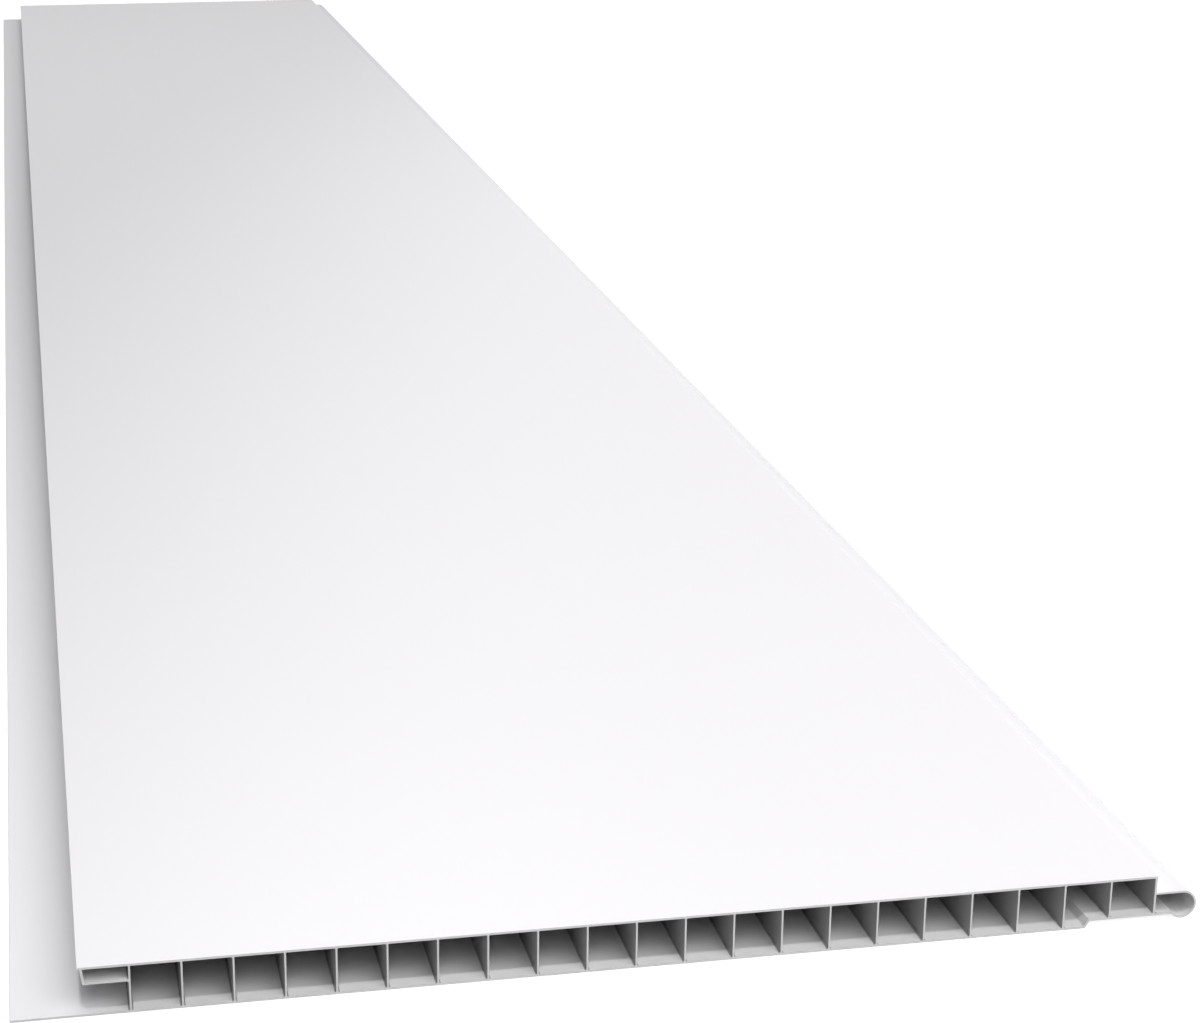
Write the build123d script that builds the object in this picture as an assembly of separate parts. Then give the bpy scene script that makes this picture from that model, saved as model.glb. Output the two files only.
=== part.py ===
from build123d import *
import os
from math import sqrt

# Hollow ceiling panel of rigid plastic, one extruded strip with the same section from end to end.
# It lies on its back with the plain face up. X runs across it, from the nailing flange to the
# tongue, Y along it and Z up from the back. X = 0 and Y = 0 are the middle of its outer size.

# Driving dimensions, in mm
face_width = 200.0       # cover width of the face, edge to edge
depth = 9.5              # back to face
length = 1400.0
cell_count = 22          # equal cells across the face, the one over the groove included

face_skin = 0.42
back_skin = 0.40         # also the flange and the raised strip of the back
web = 0.32               # upright walls between the cells
edge_wall = 0.40         # walls of both long edges and the floor of the lip
tongue_wall = 0.38

flange_reach = 11.9      # flange beyond the face's edge
lip_underside = 6.1      # height of the lip that roofs the groove
lip_setback = 0.48       # the face runs past the lip's wall by this much
lip_lean = 0.42          # the wall's foot stands in from its head
groove_radius = 0.35     # inner upper corner of the groove
raised_back = 1.4        # room under the back for the next panel's flange and its fixings
riser_run = 0.9          # the step up to it slopes over this width

# Room left in a joint past the ends of the tongue and the flange, so that the faces meet first
tongue_play = 0.75
flange_play = 1.05
slip_fit = 0.05          # above and below the tongue in the groove

cell_radius = 0.2        # corners inside the cells
edge_radius = 0.15       # outer corners of the face and the flange's tip

# The cells, and the groove under the first of them
cell_pitch = face_width / cell_count
groove_depth = cell_pitch - web / 2
cell_roof = depth - face_skin

# The tongue is as thick as the next panel's groove less the slip fit, and ends in a half-round bulb
tongue_reach = groove_depth - tongue_play
tongue_bottom = back_skin + slip_fit
tongue_top = lip_underside - slip_fit
bulb_radius = (tongue_top - tongue_bottom) / 2
bulb_z = tongue_bottom + bulb_radius

# Places across the section
left_edge = -(flange_reach + face_width + tongue_reach) / 2
face_left = left_edge + flange_reach
face_right = face_left + face_width
lip_head = face_left + lip_setback
lip_foot = lip_head + lip_lean
groove_end = face_left + groove_depth
riser_head = face_right - flange_reach - flange_play
riser_foot = riser_head - riser_run
bulb_x = face_right + tongue_reach - bulb_radius
raised_floor = raised_back + back_skin


def bulb_left(radius, height):
    """X where a circle about the bulb's centre crosses a height, on its left side."""
    return bulb_x - sqrt(radius ** 2 - (height - bulb_z) ** 2)


def bulb_profile(radius, height, x_start):
    """Line at a height up to the bulb, round it and back along its top, both ends at x_start."""
    crown = bulb_z + radius
    floor = Line((x_start, height), (bulb_left(radius, height), height))
    turn = ThreePointArc((bulb_left(radius, height), height), (bulb_x + radius, bulb_z), (bulb_x, crown))
    top = Line((bulb_x, crown), (x_start, crown))
    return [floor, turn, top]


def outline():
    """Everything inside the panel's outer surface."""
    underside = Polyline((left_edge, 0), (riser_foot, 0), (riser_head, raised_back), (face_right, raised_back))
    face_side = Polyline(
        (face_right, tongue_top),
        (face_right, depth),
        (face_left, depth),
        (face_left, cell_roof),
        (lip_head, cell_roof),
        (lip_foot, lip_underside),
        (groove_end, lip_underside),
        (groove_end, back_skin),
        (left_edge, back_skin),
        (left_edge, 0),
    )
    shape = make_face([underside, *bulb_profile(bulb_radius, raised_back, face_right), face_side])
    shape = rounded(shape, groove_radius, (groove_end, lip_underside))
    return rounded(shape, edge_radius, (face_right, depth), (face_left, depth), (left_edge, back_skin))


def rounded(shape, radius, *corners):
    """The shape with the corners nearest the given points rounded."""
    chosen = [shape.vertices().sort_by_distance(corner)[0] for corner in corners]
    return fillet(chosen, radius)


def cells():
    """The hollows between the face, the back and the webs."""
    lip_cell = make_face(
        Polyline(
            (lip_head + edge_wall, cell_roof),
            (lip_foot + edge_wall, lip_underside + edge_wall),
            (groove_end, lip_underside + edge_wall),
            (groove_end, cell_roof),
            close=True,
        )
    )
    # The riser keeps its thickness square to its slope
    slope = riser_run / raised_back
    riser_width = back_skin * sqrt(1 + slope ** 2)
    inner_foot = riser_foot + slope * back_skin - riser_width
    inner_head = riser_foot + slope * raised_floor - riser_width
    hall = make_face(
        Polyline(
            (groove_end + web, back_skin),
            (inner_foot, back_skin),
            (inner_head, raised_floor),
            (face_right - edge_wall, raised_floor),
            (face_right - edge_wall, cell_roof),
            (groove_end + web, cell_roof),
            close=True,
        )
    )
    webs = [
        Pos(face_left + number * cell_pitch, depth / 2) * Rectangle(web, depth)
        for number in range(2, cell_count)
    ]
    hollows = lip_cell + (hall - webs)
    return fillet(hollows.vertices(), cell_radius)


def tongue_cell():
    """The hollow of the tongue, from the edge wall to the inside of the bulb."""
    inner_radius = bulb_radius - tongue_wall
    bulb = bulb_profile(inner_radius, raised_floor, face_right)
    back = Line((face_right, bulb_z + inner_radius), (face_right, raised_floor))
    return make_face([*bulb, back])


def ceiling_panel():
    section = outline() - cells() - tongue_cell()
    panel = extrude(Plane.XZ * section, amount=length / 2, both=True)
    panel.label = "ceiling_panel"
    return panel


os.makedirs("parts", exist_ok=True)
panel = ceiling_panel()
export_step(panel, "parts/ceiling_panel.step")
print(f"ceiling_panel {panel.volume / length:.1f} mm2 of section, {panel.volume / 1000:.1f} cm3")
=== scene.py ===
from math import radians
import bpy
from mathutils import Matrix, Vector


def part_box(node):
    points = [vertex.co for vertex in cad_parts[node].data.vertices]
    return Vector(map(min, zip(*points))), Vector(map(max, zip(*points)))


# White hollow ceiling panel lying on its back, seen along its length from the left of one cut end.
# Metres throughout. X runs across from the flange to the tongue, Y along the panel, Z up.
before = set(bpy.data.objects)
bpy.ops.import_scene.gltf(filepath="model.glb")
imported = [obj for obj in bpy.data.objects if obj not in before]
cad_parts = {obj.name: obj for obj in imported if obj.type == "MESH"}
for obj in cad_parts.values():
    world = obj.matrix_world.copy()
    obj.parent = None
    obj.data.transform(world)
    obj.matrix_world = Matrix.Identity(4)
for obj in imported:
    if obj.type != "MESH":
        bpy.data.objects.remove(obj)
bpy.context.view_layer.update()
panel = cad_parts["ceiling_panel"]
panelLow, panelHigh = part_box("ceiling_panel")
print("frame loaded, panel", [round(side, 4) for side in panelHigh - panelLow])


# Shader sums written as plain Python: a wire is one output socket of a node
class Wire:
    def __init__(self, board, socket):
        self.board = board
        self.socket = socket

    def sum(self, operation, *others, swapped=False):
        values = [*others, self] if swapped else [self, *others]
        return self.board.node("ShaderNodeMath", {"operation": operation}, dict(enumerate(values)))

    def __add__(self, other):
        return self.sum("ADD", other)

    def __mul__(self, other):
        return self.sum("MULTIPLY", other)

    def __sub__(self, other):
        return self.sum("SUBTRACT", other)

    def __rsub__(self, other):
        return self.sum("SUBTRACT", other, swapped=True)

    def __truediv__(self, other):
        return self.sum("DIVIDE", other)

    def __gt__(self, other):
        return self.sum("GREATER_THAN", other)

    def __lt__(self, other):
        return self.sum("LESS_THAN", other)

    def __abs__(self):
        return self.sum("ABSOLUTE")

    def orElse(self, other):
        return self.sum("MAXIMUM", other)

    def other(self, name):
        return Wire(self.board, self.socket.node.outputs[name])

    __radd__ = __add__
    __rmul__ = __mul__


# The node tree of one material or of the world, emptied first
class Board:
    def __init__(self, owner):
        owner.use_nodes = True
        self.tree = owner.node_tree
        self.tree.nodes.clear()

    def node(self, kind, settings=None, sockets=None, out=0):
        made = self.tree.nodes.new(kind)
        for name, value in (settings or {}).items():
            setattr(made, name, value)
        for name, value in (sockets or {}).items():
            if isinstance(value, Wire):
                self.tree.links.new(value.socket, made.inputs[name])
            else:
                made.inputs[name].default_value = value
        return Wire(self, made.outputs[out]) if len(made.outputs) else None

    def noise(self, place, pattern):
        stretched = self.node("ShaderNodeMapping", {}, {"Vector": place, "Scale": pattern["stretch"]})
        grain = {"Detail": pattern["detail"], "Roughness": pattern["roughness"]}
        return self.node("ShaderNodeTexNoise", {}, {"Vector": stretched, "Scale": 1.0, **grain})

    # From one value at the start to another at the end, along a straight or an S-shaped line
    def ramp(self, value, start, end, first=0.0, last=1.0, line="SMOOTHSTEP"):
        limits = {"From Min": start, "From Max": end, "To Min": first, "To Max": last}
        return self.node("ShaderNodeMapRange", {"interpolation_type": line}, {"Value": value, **limits})

    def blend(self, amount, first, second):
        colours = {"Factor": amount, 6: first, 7: second}
        return self.node("ShaderNodeMix", {"data_type": "RGBA"}, colours, 2)


def newMaterial(name):
    material = bpy.data.materials.new(name)
    return material, Board(material)


# Places across the section that tell the insides of the cells from the outer surfaces
section = {
    "flangeReach": 0.0119,
    "faceWidth": 0.2,
    "cellCount": 22,
    "wall": 0.0004,
    "lipWall": 0.00088,      # inner side of the lip's outer wall, in from the face's edge
    "lipUnderside": 0.0061,
    "riserFoot": 0.0138,     # ends of the step in the back, in from the face's right edge
    "riserHead": 0.0130,
    "raisedBack": 0.0014,
    "bulbRadius": 0.0028,
    "bulbHeight": 0.00325,
    "webBand": 0.9,          # webs lie past this, where 0 is the middle of a cell and 1 that of a web
}
halfWall = section["wall"] / 2
faceLeft = panelLow.x + section["flangeReach"]
faceRight = faceLeft + section["faceWidth"]
cellPitch = section["faceWidth"] / section["cellCount"]
grooveEnd = faceLeft + cellPitch
bulbMiddle = panelHigh.x - section["bulbRadius"]

# White rigid plastic: a glossy face, a plainer body, sawn ends and cells with dull insides. Painted
# shade greys the top of the tongue, the sawn ends and the cells, darkest on the webs' sides, and
# painted light brightens the floors behind the cuts
pvc = {
    "face": (0.905, 0.888, 0.912, 1),
    "faceDrift": (0.890, 0.874, 0.898, 1),
    "body": (0.892, 0.878, 0.898, 1),
    # painted shade on the top of the tongue and the wall above it
    "tongueTopShade": (0.842, 0.829, 0.848, 1),
    # painted shade in the cells, darker on the webs' sides, and painted light on the floors near the
    # cuts
    "inside": (0.64, 0.64, 0.64, 1),
    "webSideShade": (0.34, 0.34, 0.34, 1),
    "insideFront": (0.74, 0.74, 0.74, 1),
    "frontDepth": 0.012,     # reach of the painted light on the floors, in from a cut and up from the back
    "frontHeight": 0.004,
    # painted shade on the sawn ends
    "sawnShaded": (0.62, 0.62, 0.62, 1),
    "sawnDepth": 0.00002,
    "faceGloss": 0.36,
    "bodyGloss": 0.44,
    "insideGloss": 0.60,
    "sawnGloss": 0.70,
    "glossDrift": 0.08,
    "refraction": 1.5,
    "dieLines": 0.000003,    # depths of the relief
    "bodyDieLines": 0.000007,
    "webMarks": 0.000002,
    "ripple": 0.000008,
    "sawMarks": 0.00002,
}
# Noise of the plastic, stretched along X, Y and Z
patterns = {
    "streaks": {"stretch": (700, 1.2, 700), "detail": 3, "roughness": 0.5},
    "drift": {"stretch": (9, 3, 9), "detail": 2, "roughness": 0.5},
    "ripple": {"stretch": (70, 16, 70), "detail": 2, "roughness": 0.5},
    "saw": {"stretch": (900, 900, 7000), "detail": 3, "roughness": 0.7},
}


# Where shade is painted: 1 inside the cells and the tongue, and rising from 0 at the groove's mouth
# towards its inner end, a painted shade that deepens into the groove
def insideCells(board, across, up):
    groove = board.ramp(across, faceLeft, grooveEnd)
    groove = groove * (across < grooveEnd) * (up > halfWall) * (up < section["lipUnderside"] + halfWall)
    riserFoot = faceRight - section["riserFoot"]
    riserHead = faceRight - section["riserHead"]
    rise = board.ramp(across, riserFoot, riserHead, 0.0, section["raisedBack"], "LINEAR")
    hall = (across > grooveEnd) * (across < faceRight - halfWall) * (up > rise + halfWall)
    lip = (across > faceLeft + section["lipWall"]) * (up > section["lipUnderside"] + halfWall)
    fromBulb = across - bulbMiddle
    upFromBulb = up - section["bulbHeight"]
    bulb = fromBulb * fromBulb + upFromBulb * upFromBulb < (section["bulbRadius"] - halfWall) ** 2
    neck = (up > section["raisedBack"] + halfWall) * (up < section["lipUnderside"] - halfWall)
    tongue = (across > faceRight) * bulb.orElse(neck * (across < bulbMiddle))
    cells = hall.orElse(lip * (across < grooveEnd)) * (up < panelHigh.z - halfWall)
    return cells.orElse(tongue).orElse(groove)


# The outer plastic away from the face, with painted shade that grows towards the top of the tongue and
# covers the wall above it
def bodyToneAndShade(board, across, up):
    tongueTopShade = board.ramp(up, section["raisedBack"], section["lipUnderside"])
    tongueTopShade = tongueTopShade * (across > faceRight - halfWall)
    return board.blend(tongueTopShade, pvc["body"], pvc["tongueTopShade"])


# Painted shade in the cells: grey insides and darker webs' sides, with painted light on the floors near
# the cuts
def cellShadeAndLight(board, along, up, fromWeb):
    inwards = board.ramp(abs(along), panelHigh.y - pvc["frontDepth"], panelHigh.y)
    upwards = board.ramp(up, section["wall"], pvc["frontHeight"], 1.0, 0.0)
    floors = board.blend(inwards * upwards, pvc["inside"], pvc["insideFront"])
    return board.blend(fromWeb > section["webBand"], floors, pvc["webSideShade"])


def whitePvc():
    material, board = newMaterial("white_pvc")
    place = board.node("ShaderNodeTexCoord", {}, {}, "Object")
    axes = board.node("ShaderNodeSeparateXYZ", {}, {"Vector": place})
    across = axes.other("X")
    along = axes.other("Y")
    up = axes.other("Z")
    sawnShaded = abs(along) > panelHigh.y - pvc["sawnDepth"]
    face = up > panelHigh.z - halfWall
    inside = insideCells(board, across, up)
    fromWeb = abs(((across - faceLeft) / cellPitch).sum("FRACT") - 0.5) * 2
    streaks = board.noise(place, patterns["streaks"])

    faceTone = board.blend(board.noise(place, patterns["drift"]), pvc["face"], pvc["faceDrift"])
    # the body carries painted shade along the tongue's top
    tone = board.blend(face, bodyToneAndShade(board, across, up), faceTone)
    # painted shade inside the cells, with painted light on their floors near the cuts
    tone = board.blend(inside, tone, cellShadeAndLight(board, along, up, fromWeb))
    # painted shade greys the sawn ends
    tone = board.blend(sawnShaded, tone, pvc["sawnShaded"])

    gloss = pvc["bodyGloss"] + (pvc["faceGloss"] - pvc["bodyGloss"]) * face
    gloss = gloss + (streaks - 0.5) * pvc["glossDrift"]
    gloss = gloss + (pvc["insideGloss"] - gloss) * inside
    gloss = gloss + (pvc["sawnGloss"] - gloss) * sawnShaded

    dieLines = pvc["bodyDieLines"] + (pvc["dieLines"] - pvc["bodyDieLines"]) * face
    webMarks = board.ramp(fromWeb, section["webBand"], 1.0) * face * pvc["webMarks"]
    relief = streaks * dieLines + board.noise(place, patterns["ripple"]) * pvc["ripple"] - webMarks
    sawMarks = board.noise(place, patterns["saw"]) * sawnShaded * pvc["sawMarks"]
    height = relief * (1 - sawnShaded) + sawMarks
    bump = board.node("ShaderNodeBump", {}, {"Strength": 1.0, "Distance": 1.0, "Height": height})

    look = {"Base Color": tone, "Roughness": gloss, "Normal": bump, "IOR": pvc["refraction"]}
    plastic = board.node("ShaderNodeBsdfPrincipled", {}, look)
    board.node("ShaderNodeOutputMaterial", {}, {"Surface": plastic})
    return material


for slot in panel.material_slots:
    slot.material = whitePvc()
print("panel finished")

# Floor, and the white around the panel that only the camera and reflections see
studio = {
    "floorSize": 8.0,
    "floorDrop": 0.0002,     # how far the floor lies below the back
    "floorTone": (0.80, 0.80, 0.80, 1),
    "floorGlow": 0.75,
    "worldTone": (1.0, 1.0, 1.0, 1),
    "worldLight": 0.0,
}


def seenDirectly(board):
    ray = board.node("ShaderNodeLightPath", {}, {}, "Is Camera Ray")
    return ray + ray.other("Is Glossy Ray") + ray.other("Is Transmission Ray")


def makeFloor():
    bpy.ops.object.select_all(action="DESELECT")
    bpy.ops.mesh.primitive_plane_add(size=studio["floorSize"], location=(0, 0, -studio["floorDrop"]))
    floor = bpy.context.object
    floor.name = "floor"
    material, board = newMaterial("studio_floor")
    matt = board.node("ShaderNodeBsdfDiffuse", {}, {"Color": studio["floorTone"]})
    glow = board.node("ShaderNodeEmission", {}, {"Strength": seenDirectly(board) * studio["floorGlow"]})
    both = board.node("ShaderNodeAddShader", {}, {0: matt, 1: glow})
    board.node("ShaderNodeOutputMaterial", {}, {"Surface": both})
    floor.data.materials.append(material)


def makeWorld():
    world = bpy.data.worlds.new("studio")
    bpy.context.scene.world = world
    board = Board(world)
    strength = studio["worldLight"] + (1 - studio["worldLight"]) * seenDirectly(board)
    light = board.node("ShaderNodeBackground", {}, {"Color": studio["worldTone"], "Strength": strength})
    board.node("ShaderNodeOutputWorld", {}, {"Surface": light})


# Soft round lamps, all aimed at one point of the panel
softTarget = (0.0, -0.35, 0.0)
softLamps = {
    "front": {"place": (0.0, -1.6, 0.8), "size": 0.8, "watts": 5.6},
    "rightFront": {"place": (0.6, -1.4, 1.0), "size": 0.8, "watts": 6.0},
    "overFar": {"place": (0.0, 0.8, 1.5), "size": 1.2, "watts": 10.6},
    "right": {"place": (0.9, 0.0, 0.9), "size": 0.8, "watts": 4.1},
}
# The spot's soft edge crosses the panel, so the light falls off towards its far left
spot = {
    "place": (-0.18, -1.56, 2.46),
    "target": (3.19, -1.31, 0.0),
    "cone": 110.2,
    "blend": 0.06,
    "size": 0.12,
    "watts": 87,
}


def addLamp(name, data, place, target):
    lamp = bpy.data.objects.new(name, data)
    bpy.context.scene.collection.objects.link(lamp)
    lamp.location = place
    lamp.rotation_euler = (Vector(target) - Vector(place)).to_track_quat("-Z", "Y").to_euler()


def makeSoftLamp(name, place, size, watts):
    data = bpy.data.lights.new(name, "AREA")
    data.shape = "DISK"
    data.size = size
    data.energy = watts
    addLamp(name, data, place, softTarget)


def makeSpot():
    data = bpy.data.lights.new("spot", "SPOT")
    data.spot_size = radians(spot["cone"])
    data.spot_blend = spot["blend"]
    data.shadow_soft_size = spot["size"]
    data.energy = spot["watts"]
    addLamp("spot", data, spot["place"], spot["target"])


makeFloor()
makeWorld()
for name, lamp in softLamps.items():
    makeSoftLamp(name, **lamp)
makeSpot()
print("studio ready")

# Camera in front of the flange's corner, looking down along the panel and a little to the right
camera = {
    "place": (panelLow.x + 0.01157, panelLow.y - 0.40633, 0.22255),
    "turn": (72.0274, -0.0267, -10.4191),
    "lens": 77.06,
    "sensorWidth": 36,
    "sideShift": 0.085,
    "clipStart": 0.01,
}


def makeCamera():
    data = bpy.data.cameras.new("camera")
    data.lens = camera["lens"]
    data.sensor_width = camera["sensorWidth"]
    data.shift_x = camera["sideShift"]
    data.clip_start = camera["clipStart"]
    made = bpy.data.objects.new("camera", data)
    bpy.context.scene.collection.objects.link(made)
    made.location = camera["place"]
    made.rotation_euler = [radians(angle) for angle in camera["turn"]]
    bpy.context.scene.camera = made


makeCamera()
bpy.context.scene.view_settings.view_transform = "Standard"
print("camera set")
